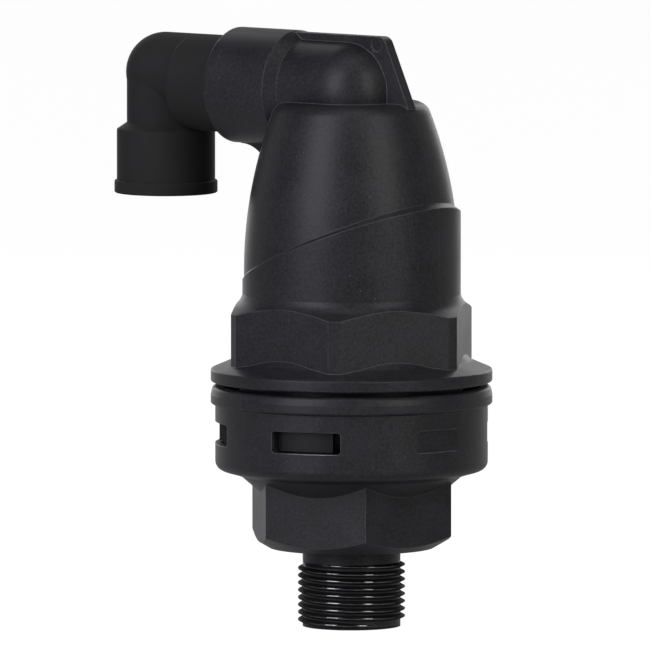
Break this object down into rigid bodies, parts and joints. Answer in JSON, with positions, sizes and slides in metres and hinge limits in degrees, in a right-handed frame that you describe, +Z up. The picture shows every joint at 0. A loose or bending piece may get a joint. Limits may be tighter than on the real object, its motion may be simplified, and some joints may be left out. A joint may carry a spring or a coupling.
{
  "type": "air release valve",
  "caption": "Plastic automatic air release valve with a male threaded inlet, hexagonal base and body, float and lever seal inside, and a swivelling drain elbow.",
  "frame": {"origin": "centre of the inlet nipple's lower face", "axes": "+Z up along the valve axis, -X along the outlet towards the drain elbow"},
  "size_m": [0.1056, 0.0694, 0.1464],
  "materials": {
    "base_nylon": "fine-grained black glass-filled nylon, glossy on the thread",
    "body_nylon": "fine-grained black glass-filled nylon",
    "elbow_plastic": "smooth dark grey plastic",
    "inner_plastic": "natural white acetal",
    "seal_rubber": "black moulded rubber",
    "stainless": "stainless steel",
    "float_foam": "foamed polypropylene"
  },
  "bodies": {
    "base": {"inlet_base": "base_nylon", "inlet_strainer": "inner_plastic", "float_rest": "inner_plastic"},
    "housing": {"valve_body": "body_nylon", "body_o_ring": "seal_rubber", "lever_frame": "inner_plastic", "frame_o_ring": "seal_rubber", "frame_screws": "stainless", "orifice_nozzle": "stainless", "nozzle_o_ring": "seal_rubber", "pivot_pin": "stainless", "pivot_pin_clips": "stainless"},
    "float_unit": {"float": "float_foam", "float_stem": "inner_plastic", "link_pin": "stainless", "link_pin_clips": "stainless"},
    "lever": {"seal_lever": "stainless", "lever_bush": "inner_plastic", "seal_button": "seal_rubber"},
    "elbow": {"drain_elbow": "elbow_plastic", "elbow_o_ring": "seal_rubber", "elbow_retaining_ring": "inner_plastic"}
  },
  "joints": [
    {"name": "bayonet_twist", "type": "hinge", "parent": "base", "child": "housing", "pos_m": [0, 0, 0.048], "axis": [0, 0, 1], "range_deg": [0, 30]},
    {"name": "float_slide", "type": "slide", "parent": "housing", "child": "float_unit", "axis": [0, 0, 1], "range_m": [0, 0.00474]},
    {"name": "lever_pivot", "type": "hinge", "parent": "housing", "child": "lever", "pos_m": [-0.01303, 0, 0.1128], "axis": [0, -1, 0], "range_deg": [0, 20]},
    {"name": "elbow_swivel", "type": "hinge", "parent": "housing", "child": "elbow", "pos_m": [-0.03, 0, 0.1321], "axis": [-1, 0, 0], "continuous": true}
  ],
  "couplings": [
    {"joint": "lever_pivot", "follows": "float_slide", "rad_per_m": 73.643}
  ]
}
